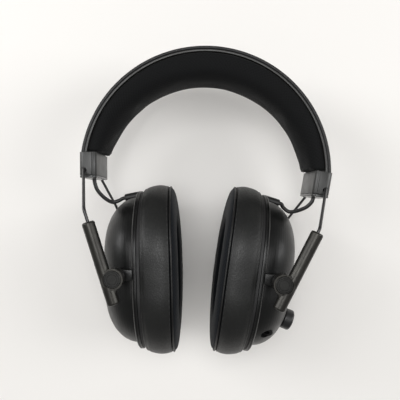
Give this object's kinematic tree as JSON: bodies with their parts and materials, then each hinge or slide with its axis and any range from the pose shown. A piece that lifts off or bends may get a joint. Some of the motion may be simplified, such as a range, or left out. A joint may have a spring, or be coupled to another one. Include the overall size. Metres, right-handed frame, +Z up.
{
  "type": "wireless headphones",
  "caption": "Closed over-ear wireless headphones with a padded headband, wire bails, sliding tubes, tilting oval cups and cushions, lying on their back.",
  "frame": {"origin": "middle of the footprint, on the surface that the headphones lie on", "axes": "+X towards the wearer's left cup, +Y towards the crown of the headband, +Z up from the surface, which is the front of the headphones"},
  "size_m": [0.155, 0.1936, 0.105],
  "materials": {
    "cover_leatherette": "matte grained leatherette",
    "carrier_plastic": "satin moulded edge",
    "spring_steel": "bare spring steel",
    "pad_fabric": "soft woven cover over foam",
    "block_plastic": "satin moulded plastic",
    "foot_plastic": "smooth moulded plate",
    "wire_steel": "satin black coated wire",
    "slider_metal": "satin gun-metal",
    "bush_nylon": "nylon",
    "cap_metal": "satin dark disc",
    "screw_steel": "plated steel",
    "ring_plastic": "satin moulded plastic",
    "shell_plastic": "smooth matte moulded shell",
    "inner_plastic": "moulded plastic",
    "cushion_leatherette": "soft smooth leatherette",
    "cushion_fabric": "fine mesh fabric",
    "scrim_fabric": "open acoustic cloth",
    "magnet_steel": "plated magnet cup",
    "diaphragm_film": "thin film",
    "grommet_rubber": "soft moulded rubber",
    "lead_rubber": "smooth lead jacket",
    "circuit_board": "solder mask",
    "shield_can": "tinned steel",
    "battery_foil": "wrapped pouch cell",
    "socket_plastic": "moulded socket",
    "pot_metal": "pressed steel case",
    "knob_plastic": "satin knob with soft edge",
    "button_plastic": "satin button",
    "light_pipe": "clear light pipe"
  },
  "bodies": {
    "headband": {"band_cover": "cover_leatherette", "band_carrier": "carrier_plastic", "spring_band": "spring_steel", "band_pad": "pad_fabric", "end_block_left": "block_plastic", "end_block_right": "block_plastic", "end_cover_left": "block_plastic", "end_cover_right": "block_plastic", "foot_plate_left": "foot_plastic", "foot_plate_right": "foot_plastic", "lead_left": "lead_rubber", "lead_right": "lead_rubber"},
    "bail_left": {"bail_left": "wire_steel"},
    "slider_left": {"slider_front_left": "slider_metal", "slider_rear_left": "slider_metal", "slider_bushes_left": "bush_nylon", "pivot_caps_left": "cap_metal"},
    "cup_left": {"pivot_screws_left": "screw_steel", "cup_ring_left": "ring_plastic", "cup_shell_left": "shell_plastic", "baffle_left": "inner_plastic", "cup_screws_left": "screw_steel", "cushion_plate_left": "inner_plastic", "cushion_side_left": "cushion_leatherette", "cushion_face_left": "cushion_fabric", "scrim_left": "scrim_fabric", "driver_basket_left": "inner_plastic", "driver_magnet_left": "magnet_steel", "diaphragm_left": "diaphragm_film", "lead_grommet_left": "grommet_rubber", "main_board": "circuit_board", "radio_module": "shield_can", "usb_socket": "shield_can", "mic_socket": "socket_plastic", "volume_pot": "pot_metal", "button_switches": "pot_metal", "status_light": "light_pipe"},
    "bail_right": {"bail_right": "wire_steel"},
    "slider_right": {"slider_front_right": "slider_metal", "slider_rear_right": "slider_metal", "slider_bushes_right": "bush_nylon", "pivot_caps_right": "cap_metal"},
    "cup_right": {"pivot_screws_right": "screw_steel", "cup_ring_right": "ring_plastic", "cup_shell_right": "shell_plastic", "baffle_right": "inner_plastic", "cup_screws_right": "screw_steel", "cushion_plate_right": "inner_plastic", "cushion_side_right": "cushion_leatherette", "cushion_face_right": "cushion_fabric", "scrim_right": "scrim_fabric", "driver_basket_right": "inner_plastic", "driver_magnet_right": "magnet_steel", "diaphragm_right": "diaphragm_film", "lead_grommet_right": "grommet_rubber", "battery": "battery_foil", "charging_board": "circuit_board"},
    "knob": {"volume_knob": "knob_plastic"},
    "power_button": {"power_button": "button_plastic"},
    "mute_button": {"mute_button": "button_plastic"}
  },
  "joints": [
    {"name": "bail_swing_left", "type": "hinge", "parent": "headband", "child": "bail_left", "pos_m": [0.07333, 0.01514, 0.0525], "axis": [0, 0, 1], "range_deg": [-1, 12], "deforming": ["lead_left"]},
    {"name": "slider_extend_left", "type": "slide", "parent": "bail_left", "child": "slider_left", "axis": [-0.3795, -0.9252, 0], "range_m": [0, 0.03]},
    {"name": "cup_tilt_left", "type": "hinge", "parent": "slider_left", "child": "cup_left", "pos_m": [0.04699, -0.03908, 0.0525], "axis": [0, 0, 1], "range_deg": [-6, 10]},
    {"name": "bail_swing_right", "type": "hinge", "parent": "headband", "child": "bail_right", "pos_m": [-0.07333, 0.01514, 0.0525], "axis": [0, 0, -1], "range_deg": [-1, 12], "deforming": ["lead_right"]},
    {"name": "slider_extend_right", "type": "slide", "parent": "bail_right", "child": "slider_right", "axis": [0.3795, -0.9252, 0], "range_m": [-0.005, 0.025]},
    {"name": "cup_tilt_right", "type": "hinge", "parent": "slider_right", "child": "cup_right", "pos_m": [-0.04509, -0.0437, 0.0525], "axis": [0, 0, -1], "range_deg": [-2, 12]},
    {"name": "volume_turn", "type": "hinge", "parent": "cup_left", "child": "knob", "pos_m": [0.05651, -0.0681, 0.0525], "axis": [0.9589, -0.2838, 0], "range_deg": [-150, 150]},
    {"name": "power_press", "type": "slide", "parent": "cup_left", "child": "power_button", "axis": [0.0139, 0.2753, 0.9613], "range_m": [0, 0.0006], "stiffness_N_per_m": 900, "springref_m": -0.0008},
    {"name": "mute_press", "type": "slide", "parent": "cup_left", "child": "mute_button", "axis": [0.0339, 0.6683, 0.7431], "range_m": [0, 0.0006], "stiffness_N_per_m": 900, "springref_m": -0.0008}
  ]
}
